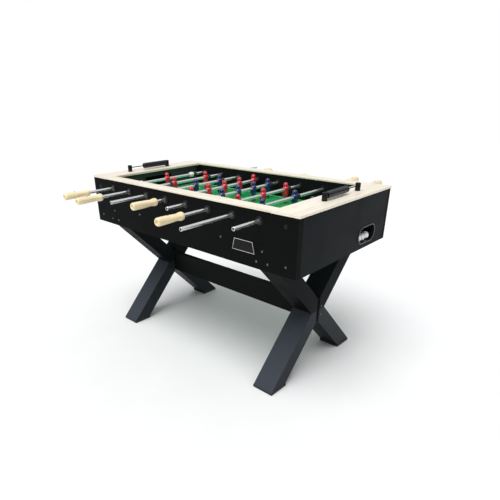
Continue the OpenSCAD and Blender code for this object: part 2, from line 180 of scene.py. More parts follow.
class Nodes:
    """A short way to build one material's nodes."""

    def __init__(self, name):
        self.material = bpy.data.materials.new(name)
        self.material.use_nodes = True
        self.tree = self.material.node_tree
        self.shader = self.tree.nodes["Principled BSDF"]

    def add(self, kind, **settings):
        node = self.tree.nodes.new(kind)
        for key, value in settings.items():
            setattr(node, key, value)
        return node

    def link(self, source, target):
        self.tree.links.new(source, target)

    def place(self, scale=(1, 1, 1)):
        """The object's own coordinates in metres, stretched by scale."""
        coordinates = self.add("ShaderNodeTexCoord")
        mapping = self.add("ShaderNodeMapping")
        mapping.inputs["Scale"].default_value = scale
        self.link(coordinates.outputs["Object"], mapping.inputs["Vector"])
        return mapping.outputs["Vector"]

    def noise(self, vector, scale, detail, roughness, distortion):
        noise = self.add("ShaderNodeTexNoise")
        noise.inputs["Scale"].default_value = scale
        noise.inputs["Detail"].default_value = detail
        noise.inputs["Roughness"].default_value = roughness
        noise.inputs["Distortion"].default_value = distortion
        self.link(vector, noise.inputs["Vector"])
        return noise.outputs["Fac"]

    def blotches(self, scale, detail, roughness=0.55, distortion=0.0):
        """An even noise, with about as many blotches to a metre as its scale."""
        return self.noise(self.place(), scale, detail, roughness, distortion)

    def grain(self, axis, along, across, detail, roughness, distortion=0.0):
        """A noise drawn out along an axis, with its scale along the axis and across it."""
        scale = [across] * 3
        scale["XYZ".index(axis)] = along
        return self.noise(self.place(scale), 1.0, detail, roughness, distortion)

    def ramp(self, factor, *stops):
        """A colour ramp with (position, colour) stops."""
        ramp = self.add("ShaderNodeValToRGB")
        elements = ramp.color_ramp.elements
        while len(elements) < len(stops):
            elements.new(0.5)
        for element, (position, colour) in zip(elements, stops):
            element.position = position
            element.color = (*colour, 1)
        self.link(factor, ramp.inputs["Fac"])
        return ramp.outputs["Color"]

    def spread(self, factor, low, high, from_low=0.3, from_high=0.7):
        """Maps a factor onto a range of values."""
        spread = self.add("ShaderNodeMapRange")
        spread.inputs["From Min"].default_value = from_low
        spread.inputs["From Max"].default_value = from_high
        spread.inputs["To Min"].default_value = low
        spread.inputs["To Max"].default_value = high
        self.link(factor, spread.inputs["Value"])
        return spread.outputs["Result"]

    def mix(self, factor, first, second):
        """Mixes two colours. Each may be a colour or a socket, and the factor a number or a socket."""
        mix = self.add("ShaderNodeMix", data_type="RGBA")
        targets = [mix.inputs["Factor"]] + [socket for socket in mix.inputs if socket.type == "RGBA"]
        for target, value in zip(targets, (factor, first, second)):
            if isinstance(value, bpy.types.NodeSocket):
                self.link(value, target)
            elif isinstance(value, tuple):
                target.default_value = (*value, 1)
            else:
                target.default_value = value
        return [socket for socket in mix.outputs if socket.type == "RGBA"][0]

    def bump(self, height, strength, distance):
        bump = self.add("ShaderNodeBump")
        bump.inputs["Strength"].default_value = strength
        bump.inputs["Distance"].default_value = distance
        self.link(height, bump.inputs["Height"])
        self.link(bump.outputs["Normal"], self.shader.inputs["Normal"])

    def worn_edges(self, radius):
        """How close a point is to a rounded-off edge, from 0 to 1."""
        rounded = self.add("ShaderNodeBevel", samples=6)
        rounded.inputs["Radius"].default_value = radius
        geometry = self.add("ShaderNodeNewGeometry")
        dot = self.add("ShaderNodeVectorMath", operation="DOT_PRODUCT")
        self.link(rounded.outputs["Normal"], dot.inputs[0])
        self.link(geometry.outputs["Normal"], dot.inputs[1])
        return self.spread(dot.outputs["Value"], 1.0, 0.0, 0.86, 0.995)

    def upward(self):
        """How far a face looks up, from -1 to 1."""
        geometry = self.add("ShaderNodeNewGeometry")
        split = self.add("ShaderNodeSeparateXYZ")
        self.link(geometry.outputs["Normal"], split.inputs["Vector"])
        return split.outputs["Z"]

    def colour(self, source):
        self.link(source, self.shader.inputs["Base Color"])

    def roughness(self, source):
        self.link(source, self.shader.inputs["Roughness"])

    def set(self, **values):
        """Fixed values on the shader's own sockets, such as Coat_Weight=0.5."""
        for key, value in values.items():
            self.shader.inputs[key.replace("_", " ")].default_value = value


def maple(name, axis, pale, mid, dark, coat=0.25):
    """Pale maple with its grain along an axis."""
    nodes = Nodes(name)
    long_grain = nodes.grain(axis, 5, 90, detail=6, roughness=0.6, distortion=0.6)
    figure = nodes.grain(axis, 1.2, 14, detail=3, roughness=0.5, distortion=1.2)
    pores = nodes.grain(axis, 40, 900, detail=2, roughness=0.5)
    base = nodes.ramp(long_grain, (0.3, dark), (0.48, mid), (0.68, pale))
    broad = nodes.ramp(figure, (0.3, mid), (0.7, pale))
    colour = nodes.mix(0.5, base, broad)
    flecks = nodes.spread(pores, 0.0, 0.35, 0.6, 0.72)
    nodes.colour(nodes.mix(flecks, colour, dark))
    nodes.roughness(nodes.spread(figure, 0.34, 0.46))
    nodes.bump(long_grain, strength=0.12, distance=0.4 * MM)
    nodes.set(Coat_Weight=coat, Coat_Roughness=0.18)
    return nodes.material


RUBBED_EDGE = (0.1, 0.1, 0.1)
# How dark the painted shade makes the faces that look down, as a share of the board's colour.
PAINTED_SHADE_LEVEL = 0.15


def laminate(name, axis, colour, light, gloss=0.05, painted_shade=None):
    """Dark laminate board with a fine printed grain along an axis and slightly rubbed edges.

    The faces that look down can be darkened as painted shade: the last argument says how far up a face
    looks, from -1 to 1, where the painted shade is darkest and where the board has its own colour."""
    nodes = Nodes(name)
    grain = nodes.grain(axis, 6, 260, detail=5, roughness=0.6, distortion=0.4)
    cloud = nodes.blotches(9, detail=3, roughness=0.5)
    base = nodes.ramp(grain, (0.35, colour), (0.7, light))
    patched = nodes.mix(nodes.spread(cloud, 0.0, 0.35), base, light)
    # Painted shade: faces that look down are darkened, standing in for the shade under the table.
    if painted_shade:
        darkest = tuple(PAINTED_SHADE_LEVEL * channel for channel in colour)
        patched = nodes.mix(nodes.spread(nodes.upward(), 0.0, 1.0, *painted_shade), darkest, patched)
    edge = nodes.worn_edges(1.2 * MM)
    scuff = nodes.blotches(60, detail=4, roughness=0.6)
    rubbed = nodes.add("ShaderNodeMath", operation="MULTIPLY")
    nodes.link(edge, rubbed.inputs[0])
    nodes.link(nodes.spread(scuff, 0.1, 0.6), rubbed.inputs[1])
    nodes.colour(nodes.mix(rubbed.outputs["Value"], patched, RUBBED_EDGE))
    nodes.roughness(nodes.spread(cloud, 0.4, 0.52))
    nodes.bump(grain, strength=0.15, distance=0.3 * MM)
    nodes.set(Specular_IOR_Level=gloss)
    return nodes.material


def moulded(name, colour, light, rough, coat=0.0, texture=0.05, wear=None, gloss=0.5):
    """Moulded plastic with faint flow marks and a fine skin texture, and a wear colour on its edges."""
    nodes = Nodes(name)
    flow = nodes.blotches(38, detail=3, roughness=0.5, distortion=0.4)
    skin = nodes.blotches(900, detail=2, roughness=0.5)
    base = nodes.ramp(flow, (0.3, colour), (0.75, light))
    if wear:
        edge = nodes.worn_edges(0.8 * MM)
        base = nodes.mix(nodes.spread(edge, 0.0, 0.5, 0.0, 1.0), base, wear)
    nodes.colour(base)
    nodes.roughness(nodes.spread(flow, *rough))
    nodes.bump(skin, strength=texture, distance=0.2 * MM)
    nodes.set(Coat_Weight=coat, Coat_Roughness=0.12, Specular_IOR_Level=gloss)
    return nodes.material


def metal(name, colour, light, rough, brush_axis="Y", metallic=1.0):
    """Metal with fine polishing lines and slight staining."""
    nodes = Nodes(name)
    lines = nodes.grain(brush_axis, 20, 1400, detail=3, roughness=0.6)
    stain = nodes.blotches(24, detail=4, roughness=0.6)
    nodes.colour(nodes.ramp(stain, (0.3, colour), (0.7, light)))
    nodes.roughness(nodes.spread(lines, *rough))
    nodes.bump(lines, strength=0.04, distance=0.1 * MM)
    nodes.set(Metallic=metallic)
    return nodes.material


GREEN_DARK = (0.016, 0.32, 0.085)
GREEN_MID = (0.026, 0.42, 0.12)
GREEN_PALE = (0.035, 0.48, 0.14)


def playing_surface():
    """Printed green laminate with a soft mottle under a gloss film."""
    nodes = Nodes("green_laminate")
    mottle = nodes.blotches(16, detail=5, roughness=0.6)
    fibre = nodes.blotches(520, detail=3, roughness=0.6)
    base = nodes.ramp(mottle, (0.3, GREEN_DARK), (0.7, GREEN_MID))
    nodes.colour(nodes.mix(nodes.spread(fibre, 0.0, 0.3), base, GREEN_PALE))
    nodes.roughness(nodes.spread(mottle, 0.16, 0.26))
    nodes.bump(fibre, strength=0.05, distance=0.2 * MM)
    nodes.set(Coat_Weight=0.4, Coat_Roughness=0.08)
    return nodes.material


MAPLE_PALE = (0.95, 0.89, 0.78)
MAPLE_MID = (0.86, 0.78, 0.64)
MAPLE_DARK = (0.58, 0.45, 0.32)
materials = {
    # Wood and boards.
    "rail_x": maple("maple_along_x", "X", MAPLE_PALE, MAPLE_MID, MAPLE_DARK),
    "rail_y": maple("maple_along_y", "Y", MAPLE_PALE, MAPLE_MID, MAPLE_DARK),
    "handle": maple("maple_handle", "Y", (0.96, 0.86, 0.6), (0.87, 0.71, 0.42), (0.48, 0.3, 0.13), coat=0.5),
    "panel": laminate("panel_laminate", "X", (0.0045, 0.005, 0.005), (0.007, 0.0075, 0.0073), gloss=0.02),
    # Painted light: the end panels are the same laminate as the front and back panels, given a lighter copy
    # of it because they catch more light from the side.
    "end_panel": laminate("end_panel_lit_laminate", "Y", (0.009, 0.011, 0.0128), (0.0126, 0.0153, 0.0178),
                          gloss=0.03),
    "board": laminate("inner_laminate", "X", (0.0055, 0.006, 0.006), (0.008, 0.0085, 0.009)),
    "goal_wall": laminate("goal_laminate", "Y", (0.04, 0.051, 0.047), (0.052, 0.065, 0.06)),
    # Painted shade: the upper arms are the same boards as the lower arms, given a darker copy of the leg
    # laminate for the shade they hang in under the table.
    "upper_leg": laminate("upper_leg_shaded_laminate", "Z", (0.014, 0.0165, 0.019), (0.02, 0.0235, 0.027),
                          gloss=0.02, painted_shade=(-0.9, 0.5)),
    # Painted shade darkens the faces of the lower arms that look down.
    "leg": laminate("leg_laminate", "Z", (0.038, 0.045, 0.055), (0.05, 0.059, 0.072),
                    gloss=0.08, painted_shade=(-0.5, 0.6)),
    "field": playing_surface(),
    # Metal.
    "chrome": metal("rod_chrome", (0.84, 0.85, 0.86), (0.92, 0.93, 0.94), rough=(0.14, 0.22), metallic=0.88),
    "screw": metal("screw_steel", (0.12, 0.12, 0.125), (0.2, 0.2, 0.2), rough=(0.3, 0.45), brush_axis="Z"),
    "dark_screw": metal("dark_screw_steel", (0.02, 0.02, 0.021), (0.04, 0.04, 0.042), rough=(0.35, 0.5),
                        brush_axis="Z"),
    "plate": metal("badge_plate", (0.006, 0.006, 0.0065), (0.012, 0.012, 0.013), rough=(0.3, 0.45),
                   brush_axis="X", metallic=0.8),
    "plate_edge": metal("badge_edge", (0.55, 0.55, 0.56), (0.7, 0.7, 0.71), rough=(0.2, 0.3),
                        brush_axis="X"),
    # Plastic, paint and rubber.
    "red": moulded("red_plastic", (0.56, 0.010, 0.028), (0.68, 0.022, 0.045), rough=(0.16, 0.26), coat=0.5),
    "blue": moulded("blue_plastic", (0.008, 0.015, 0.105), (0.013, 0.024, 0.15), rough=(0.16, 0.26),
                    coat=0.5),
    "black_plastic": moulded("black_plastic", (0.006, 0.006, 0.007), (0.009, 0.009, 0.01), rough=(0.3, 0.42),
                             wear=(0.02, 0.02, 0.02), gloss=0.2),
    "cup": moulded("cup_plastic", (0.005, 0.005, 0.006), (0.008, 0.008, 0.009), rough=(0.12, 0.2),
                   gloss=0.35),
    "liner": moulded("liner_plastic", (0.010, 0.010, 0.012), (0.016, 0.016, 0.018), rough=(0.25, 0.38),
                     gloss=0.3),
    "bead": moulded("bead_plastic", (0.008, 0.010, 0.013), (0.013, 0.015, 0.020), rough=(0.2, 0.3),
                    coat=0.08, gloss=0.3),
    "ball": moulded("ball_plastic", (0.88, 0.88, 0.86), (0.94, 0.94, 0.92), rough=(0.3, 0.42), texture=0.12),
    "collar": moulded("collar_plastic", (0.78, 0.78, 0.77), (0.86, 0.86, 0.85), rough=(0.25, 0.35)),
    "line_paint": moulded("line_paint", (0.5, 0.68, 0.54), (0.6, 0.76, 0.62), rough=(0.2, 0.3)),
    "bumper": moulded("bumper_rubber", (0.010, 0.010, 0.010), (0.018, 0.018, 0.018), rough=(0.45, 0.65),
                      texture=0.25),
    "pad": moulded("pad_rubber", (0.008, 0.008, 0.008), (0.016, 0.016, 0.016), rough=(0.5, 0.7),
                   texture=0.2),
}


# ---- CAD boards that stay, with rounded edges and real materials ------------

def dress(node, material, bevel_width, segments=3):
    """Gives a CAD node a material and rounds its edges."""
    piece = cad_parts[node]
    piece.data.materials.clear()
    piece.data.materials.append(material)
    weld = piece.modifiers.new("weld", "WELD")
    weld.merge_threshold = SAME_PLACE
    flatten = piece.modifiers.new("flatten", "DECIMATE")
    flatten.decimate_type = "DISSOLVE"
    flatten.angle_limit = math.radians(1)
    if bevel_width:
        add_bevel(piece, bevel_width, segments)


dress("front_panel", materials["panel"], 1.2 * MM)
dress("back_panel", materials["panel"], 1.2 * MM)
dress("left_end_panel", materials["end_panel"], 1.0 * MM)
dress("right_end_panel", materials["end_panel"], 1.0 * MM)
dress("inner_frame", materials["board"], 1.0 * MM)
dress("goal_walls", materials["goal_wall"], 1.5 * MM)
dress("playfield", materials["field"], 0)
dress("side_rails", materials["rail_x"], 2.5 * MM, 4)
dress("end_rails", materials["rail_y"], 2.5 * MM, 4)
dress("upper_leg_arms", materials["upper_leg"], 1.5 * MM)
dress("lower_leg_arms", materials["leg"], 1.5 * MM)
dress("stretcher", materials["board"], 1.5 * MM)
dress("foot_pads", materials["pad"], 2.5 * MM)
dress("ball_returns", materials["cup"], 1.0 * MM)
dress("bolts", materials["screw"], 0)


def darken_high_bolts():
    """The large bolts near the top frame are black, the others bare steel."""
    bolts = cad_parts["bolts"].data
    bolts.materials.append(materials["dark_screw"])
    lowest = rail_under_z - 60 * MM
    for face in bolts.polygons:
        if face.center.z > lowest:
            face.material_index = 1


darken_high_bolts()


# ---- field markings ---------------------------------------------------------

LINE_WIDTH = 3 * MM
PAINT_BASE = 0.05 * MM
PAINT_TOP = 0.25 * MM
SIDE_MARGIN = 12 * MM
END_MARGIN = 34 * MM
# The goal boxes: how far each reaches into the field, and its half width.
GOAL_BOXES = in_mm([(150, 190), (70, 120)])
BOX_ARC_RADIUS = 75 * MM
BOX_ARC_PLACE = 105 * MM
BOX_ARC_HALF_TURN = math.radians(52)
CENTRE_CIRCLE_RADIUS = 95 * MM
CENTRE_SPOT_RADIUS = 6 * MM


def stripe_section(radius):
    """The section of a painted arc of a radius: radius and height over the field."""
    inner, outer = radius - LINE_WIDTH / 2, radius + LINE_WIDTH / 2
    return [(inner, PAINT_TOP), (outer, PAINT_TOP), (outer, PAINT_BASE), (inner, PAINT_BASE)]


def add_arc(bm, centre_x, radius, start, end, steps=24):
    """A flat painted arc between two angles."""
    rings = []
    for i in range(steps + 1):
        turn = start + (end - start) * i / steps
        rings.append([
            bm.verts.new((centre_x + r * math.cos(turn), r * math.sin(turn), field_z + height))
            for r, height in stripe_section(radius)])
    for a, b in zip(rings, rings[1:]):
        for i in range(4):
            j = (i + 1) % 4
            bm.faces.new((a[i], a[j], b[j], b[i]))
    bm.faces.new(rings[0])
    bm.faces.new(rings[-1])


def add_line_along_x(bm, x0, x1, y):
    """A painted line along X that runs half a line width past both ends."""
    half = LINE_WIDTH / 2
    add_box(bm, (min(x0, x1) - half, y - half, field_z + PAINT_BASE),
            (max(x0, x1) + half, y + half, field_z + PAINT_TOP))


def add_line_along_y(bm, x, reach):
    """A painted line along Y that reaches as far on both sides of the middle."""
    half = LINE_WIDTH / 2
    add_box(bm, (x - half, -reach, field_z + PAINT_BASE), (x + half, reach, field_z + PAINT_TOP))


def add_field_end(bm, side, half_x):
    """The goal boxes and the arc at one end of the field."""
    for depth, width in GOAL_BOXES:
        inner_x = side * (half_x - depth)
        add_line_along_y(bm, inner_x, width)
        for edge in (-1, 1):
            add_line_along_x(bm, side * half_x, inner_x, edge * width)
    middle_turn = math.pi if side > 0 else 0
    add_arc(bm, side * (half_x - BOX_ARC_PLACE), BOX_ARC_RADIUS,
            middle_turn - BOX_ARC_HALF_TURN, middle_turn + BOX_ARC_HALF_TURN)


def field_markings():
    """Boundary, halfway line, centre circle and goal boxes, as on any football pitch."""
    bm = bmesh.new()
    half_x = goal_wall_x - END_MARGIN
    half_y = well_y - SIDE_MARGIN
    for side in (-1, 1):
        add_line_along_x(bm, -half_x, half_x, side * half_y)
        add_line_along_y(bm, side * half_x, half_y)
        add_field_end(bm, side, half_x)
    add_line_along_y(bm, 0, half_y)
    add_lathe(bm, stripe_section(CENTRE_CIRCLE_RADIUS), (0, 0, field_z), (0, 0, 1), 64, closed=True)
    spot = [(0, PAINT_TOP), (CENTRE_SPOT_RADIUS, PAINT_TOP),
            (CENTRE_SPOT_RADIUS, PAINT_BASE), (0, PAINT_BASE)]
    add_lathe(bm, spot, (0, 0, field_z), (0, 0, 1), 24)
    bmesh.ops.recalc_face_normals(bm, faces=bm.faces)
    piece = new_piece("field_markings", bm, materials["line_paint"])
    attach(piece, "table")


field_markings()


# ---- players ----------------------------------------------------------------

# Cross sections of a player from the foot up: height over the rod axis, half width, half depth, how much
# the middle is pinched in to part the legs, and how far the section leans forward. All in millimetres.
BODY_SECTIONS = [
    (-65.0, 9.8, 8.1, 0.0, 0.0),
    (-63.0, 11.4, 9.6, 0.05, 0.0),
    (-57.0, 12.2, 10.1, 0.15, 0.2),
    (-51.0, 11.6, 9.2, 0.3, 0.0),
    (-44.0, 10.4, 8.4, 0.4, -0.2),
    (-36.0, 11.2, 9.2, 0.4, -0.2),
    (-29.0, 12.8, 10.6, 0.35, 0.0),
    (-25.5, 13.6, 11.4, 0.25, 0.0),
    (-24.5, 15.2, 13.0, 0.12, 0.0),
    (-17.0, 16.2, 14.1, 0.1, 0.0),
    (-10.5, 15.8, 13.6, 0.0, 0.0),
    (-9.5, 15.1, 13.0, 0.0, 0.0),
    (-3.0, 15.6, 13.9, 0.0, 0.2),
    (3.0, 16.2, 14.3, 0.0, 0.3),
    (8.0, 15.8, 13.6, 0.0, 0.2),
    (12.0, 13.0, 11.4, 0.0, 0.0),
    (14.5, 9.8, 9.7, 0.0, 0.0),
    (18.0, 8.4, 9.0, 0.0, 0.0),
]
# The head: radius and height over the rod axis, in millimetres.
HEAD_PROFILE = [
    (0.0, 11.4), (6.4, 12.4), (9.8, 15.0), (11.8, 18.6), (12.5, 23.0),
    (11.8, 27.2), (9.6, 31.0), (5.6, 34.0), (0.0, 35.2),
]
# The sleeve round the rod: radius and distance from the player's middle, in millimetres.
SLEEVE_PROFILE = [(7.9, -17.6), (9.4, -16.6), (9.4, 16.6), (7.9, 17.6)]
# How squarish a player's cross sections are: 1 is an ellipse, and less is squarer.
SQUARENESS = 0.72
# How wide the gap between the legs is, as a share of the half width.
LEG_GAP = 0.22


def add_section_body(bm, sections, segments=40):
    """A closed body lofted through squarish cross sections."""
    rings = []
    for height, half_width, half_depth, pinch, lean in sections:
        ring = []
        for i in range(segments):
            turn = 2 * math.pi * i / segments
            c, s = math.cos(turn), math.sin(turn)
            across = math.copysign(abs(s) ** SQUARENESS, s) * half_width
            deep = math.copysign(abs(c) ** SQUARENESS, c) * half_depth
            deep *= 1 - pinch * math.exp(-(across / (LEG_GAP * half_width)) ** 2)
            ring.append(bm.verts.new(((deep + lean) * MM, across * MM, height * MM)))
        rings.append(ring)
    for a, b in zip(rings, rings[1:]):
        for i in range(segments):
            j = (i + 1) % segments
            bm.faces.new((a[i], a[j], b[j], b[i]))
    bm.faces.new(rings[0])
    bm.faces.new(rings[-1])


def add_limb(bm, start, end, start_radius, end_radius, steps=10):
    """A limb with round ends between two points, in millimetres."""
    start, end = Vector(start), Vector(end)
    axis = (end - start).normalized()
    length = (end - start).length
    profile = []
    for i in range(steps + 1):
        turn = math.pi / 2 * i / steps
        profile.append((start_radius * math.sin(turn), -start_radius * math.cos(turn)))
    for i in range(steps + 1):
        turn = math.pi / 2 * (1 - i / steps)
        profile.append((end_radius * math.sin(turn), length + end_radius * math.cos(turn)))
    add_lathe(bm, in_mm(profile), start * MM, axis, 20)


def add_arm_and_ear(bm, side):
    """An arm held to the body, its fist and an ear, on one side of a player."""
    shoulder = (0.2, side * 14.2, 7.8)
    elbow = (0.8, side * 15.2, -2.0)
    wrist = (5.0, side * 14.2, -12.5)
    knuckles = (6.2, side * 13.8, -15.5)
    add_limb(bm, shoulder, elbow, 4.7, 4.1)
    add_limb(bm, elbow, wrist, 4.1, 3.3)
    add_limb(bm, wrist, knuckles, 3.7, 3.4)
    ear_top = (0.1, side * 12.0, 24.4)
    ear_lobe = (0.1, side * 12.2, 21.6)
    add_limb(bm, ear_top, ear_lobe, 1.5, 1.4, 6)


def player_mesh():
    """One moulded player facing +X, with the rod axis at the origin."""
    bm = bmesh.new()
    add_section_body(bm, BODY_SECTIONS)
    for side in (-1, 1):
        add_arm_and_ear(bm, side)
    add_lathe(bm, in_mm(SLEEVE_PROFILE), (0, 0, 0), (0, 1, 0), 32)
    add_lathe(bm, in_mm(HEAD_PROFILE), (0, 0, 0), (0, 0, 1), 32)
    nose_bridge = (11.6, 0, 24.0)
    nose_tip = (12.4, 0, 21.4)
    add_limb(bm, nose_bridge, nose_tip, 1.2, 1.6, 6)
    finish_mesh(bm)
    player = new_piece("player_master", bm, materials["red"])
    fuse = player.modifiers.new("fuse", "REMESH")
    fuse.mode = "VOXEL"
    fuse.voxel_size = 0.75 * MM
    soften = player.modifiers.new("soften", "SMOOTH")
    soften.factor = 0.5
    soften.iterations = 3
    shape = bpy.context.evaluated_depsgraph_get()
    mesh = bpy.data.meshes.new_from_object(player.evaluated_get(shape), depsgraph=shape)
    bpy.data.objects.remove(player)
    return mesh


def player_places(line, count):
    """Where the players of a rod stand along Y."""
    low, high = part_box(f"{line}_men")
    if count == 1:
        return [(low[1] + high[1]) / 2]
    half_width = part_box("red_goalie_men")[1][1] - middle("red_goalie_men", 1)
    first, last = low[1] + half_width, high[1] - half_width
    return [first + (last - first) * i / (count - 1) for i in range(count)]


def rod_axis(line):
    """X and Z of a rod's axis."""
    return middle(f"{line}_liners", 0), middle(f"{line}_liners", 2)


def make_players(line, count, mesh, facing):
    """All the players of one rod, as one piece."""
    x, z = rod_axis(line)
    bm = bmesh.new()
    for y in player_places(line, count):
        place = Matrix.Translation((x, y, z)) @ Matrix.Diagonal((facing, facing, 1, 1))
        copy = mesh.copy()
        copy.transform(place)
        bm.from_mesh(copy)
        bpy.data.meshes.remove(copy)
    team = line.split("_")[0]
    piece = new_piece(f"{line}_players", bm, materials[team], 180)
    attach(piece, f"{line}_line")
    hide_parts(f"{line}_men")


# ---- rods, handles, bumpers and bearings ------------------------------------

# The profiles below are turned about the rod's axis, or about a screw's own, and are in millimetres.
ROD_RADIUS = 7.95 * MM
ROD_BORE = 5.95 * MM
ROD_CHAMFER = 0.5 * MM
# The pin of a player: radius and distance from the rod axis.
PIN_PROFILE = [(0, 15.0), (1.5, 15.0), (2.6, 14.5), (2.9, 13.4), (2.9, 8.0), (0, 8.0)]


def make_rod(line, count):
    """The chrome tube and the pins of its players."""
    x, z = rod_axis(line)
    low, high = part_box(f"{line}_rod")
    bm = bmesh.new()
    add_lathe(bm, [(ROD_RADIUS - ROD_CHAMFER, low[1]), (ROD_RADIUS, low[1] + ROD_CHAMFER),
                   (ROD_RADIUS, high[1] - ROD_CHAMFER), (ROD_RADIUS - ROD_CHAMFER, high[1]),
                   (ROD_BORE, high[1]), (ROD_BORE, low[1])],
              (x, 0, z), (0, 1, 0), 48, closed=True)
    finish_mesh(bm)
    tube = new_piece(f"{line}_tube", bm, materials["chrome"], 40)
    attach(tube, f"{line}_line")
    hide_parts(f"{line}_rod")

    bm = bmesh.new()
    for y in player_places(line, count):
        for face in (-1, 1):
            add_lathe(bm, in_mm(PIN_PROFILE), (x, y, z), (face, 0, 0), 20)
    finish_mesh(bm)
    pins = new_piece(f"{line}_pins", bm, materials["screw"], 40)
    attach(pins, f"{line}_line")


# A turned handle: radius and distance from its rod end.
HANDLE_PROFILE = [
    (12.0, 0.0), (15.2, 1.6), (17.2, 5.0), (18.0, 11.0), (17.8, 17.0), (16.5, 24.0), (15.4, 31.0),
    (15.0, 38.0), (15.4, 48.0), (16.4, 64.0), (17.3, 84.0), (17.8, 106.0), (17.8, 124.0), (17.0, 133.0),
    (14.8, 136.8), (12.6, 137.8),
]
# The recess in its far end: radius and distance from that end.
HANDLE_RECESS = [(11.5, 0), (9.4, -0.6), (8.8, -2), (8.6, -5.5), (7.6, -6), (0, -6)]
# Its screw: radius and height over the rod axis.
HANDLE_SCREW = [(0, 16.0), (1.2, 16.0), (1.6, 17.2), (3.8, 17.4), (4.4, 16.8), (4.4, 13.4), (0, 13.4)]
HANDLE_SCREW_PLACE = 80 * MM
HANDLE_RIM = 2 * MM


def make_handle(line, side):
    """The turned maple handle with a recessed end and its screw."""
    x, z = rod_axis(line)
    low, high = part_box(f"{line}_grip")
    start = low[1] if side > 0 else high[1]
    length = high[1] - low[1]
    rod_low, rod_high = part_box(f"{line}_rod")
    bore_depth = rod_high[1] - start if side > 0 else start - rod_low[1]
    profile = [(0, bore_depth), (ROD_RADIUS, bore_depth), (ROD_RADIUS, 0), (ROD_RADIUS + HANDLE_RIM, 0)]
    profile += smooth_curve(in_mm(HANDLE_PROFILE), 5)
    profile += [(radius, length + along) for radius, along in in_mm(HANDLE_RECESS)]
    bm = bmesh.new()
    add_lathe(bm, profile, (x, start, z), (0, side, 0), 56)
    finish_mesh(bm)
    piece = new_piece(f"{line}_handle", bm, materials["handle"], 50)
    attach(piece, f"{line}_line")
    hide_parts(f"{line}_grip")

    bm = bmesh.new()
    add_lathe(bm, in_mm(HANDLE_SCREW), (x, start + side * HANDLE_SCREW_PLACE, z), (0, 0, 1), 24)
    finish_mesh(bm)
    screw = new_piece(f"{line}_handle_screw", bm, materials["dark_screw"], 35)
    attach(screw, f"{line}_line")


BUMPER_RADIUS = 13.5 * MM
BUMPER_RIB = 1.5 * MM
# The gap between the outer player and the bumper beside it.
BUMPER_GAP = 1 * MM
GOALIE_BUMPER = 26 * MM
GOALIE_COLLAR = 24 * MM
# The goalie's stop collar: radius and distance along the rod.
COLLAR_PROFILE = [(7.95, 0), (12.6, 0), (13.8, 1), (14, 3), (14, 21), (13.8, 23), (12.6, 24), (7.95, 24)]
# The plug: radius and distance into the rod's bare end.
PLUG_PROFILE = [(0, 0), (3.6, 0), (4.2, 0.6), (5.4, 0.6), (5.95, 1.1), (5.95, 15), (0, 15)]


def ribbed(length, ribs):
    """Profile of a rubber bumper with round ribs, from 0 to length."""
    groove = BUMPER_RADIUS - BUMPER_RIB
    points = [(ROD_RADIUS, 0), (groove, 0)]
    steps = 10
    for rib in range(ribs):
        for i in range(steps + 1):
            t = i / steps
            bulge = math.sin(math.pi * t) ** 0.5
            points.append((groove + BUMPER_RIB * bulge, length * (rib + t) / ribs))
    return points + [(ROD_RADIUS, length)]


def make_bumpers(line, count, side):
    """Rubber bumpers, the plug in the bare end, and the goalie's white stop collars."""
    x, z = rod_axis(line)
    low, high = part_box(f"{line}_bumpers")
    men_low, men_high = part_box(f"{line}_men")
    centre = (men_low[1] + men_high[1]) / 2
    outer_end = centre - low[1] if side < 0 else high[1] - centre
    length = GOALIE_BUMPER if count == 1 else outer_end - (men_high[1] - centre + BUMPER_GAP)
    ribs = 4 if count == 1 else 3
    start = outer_end - length
    bm = bmesh.new()
    for end in (-1, 1):
        add_lathe(bm, ribbed(length, ribs), (x, centre + end * start, z), (0, end, 0), 40, closed=True)
    plug_face = high[1] if side < 0 else low[1]
    add_lathe(bm, in_mm(PLUG_PROFILE), (x, plug_face, z), (0, side, 0), 40)
    finish_mesh(bm)
    piece = new_piece(f"{line}_rubber", bm, materials["bumper"], 40)
    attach(piece, f"{line}_line")
    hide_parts(f"{line}_bumpers")
    if count == 1:
        make_collars(line, x, z, centre, start - GOALIE_COLLAR)


def make_collars(line, x, z, centre, start):
    """The goalie's two white stop collars, which start at a distance from the player's centre."""
    bm = bmesh.new()
    for end in (-1, 1):
        add_lathe(bm, in_mm(COLLAR_PROFILE), (x, centre + end * start, z), (0, end, 0), 40, closed=True)
    finish_mesh(bm)
    white = new_piece(f"{line}_collars", bm, materials["collar"], 40)
    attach(white, f"{line}_line")


# The housing of a bearing: radius and distance from the panel's outer face.
HOUSING_PROFILE = [
    (10, -30), (13, -30), (13, 0), (18, 0), (18, 1.4), (17.4, 2.2), (14.2, 2.6), (13.6, 3.6),
    (12.8, 4), (10.4, 4), (10, 3.6),
]
# Its flange inside the well: radius and distance from the well's wall.
INNER_FLANGE_PROFILE = [(10, -3), (13.4, -3), (16.4, -2.4), (17, -1.6), (17, 0), (10, 0)]
# The screws of the outer flange: radius and distance from the panel's outer face.
FLANGE_SCREW = [(0, 3.1), (0.9, 3.1), (1.6, 2.7), (1.6, 1.8), (0, 1.8)]
SCREW_CIRCLE_RADIUS = 15.6 * MM


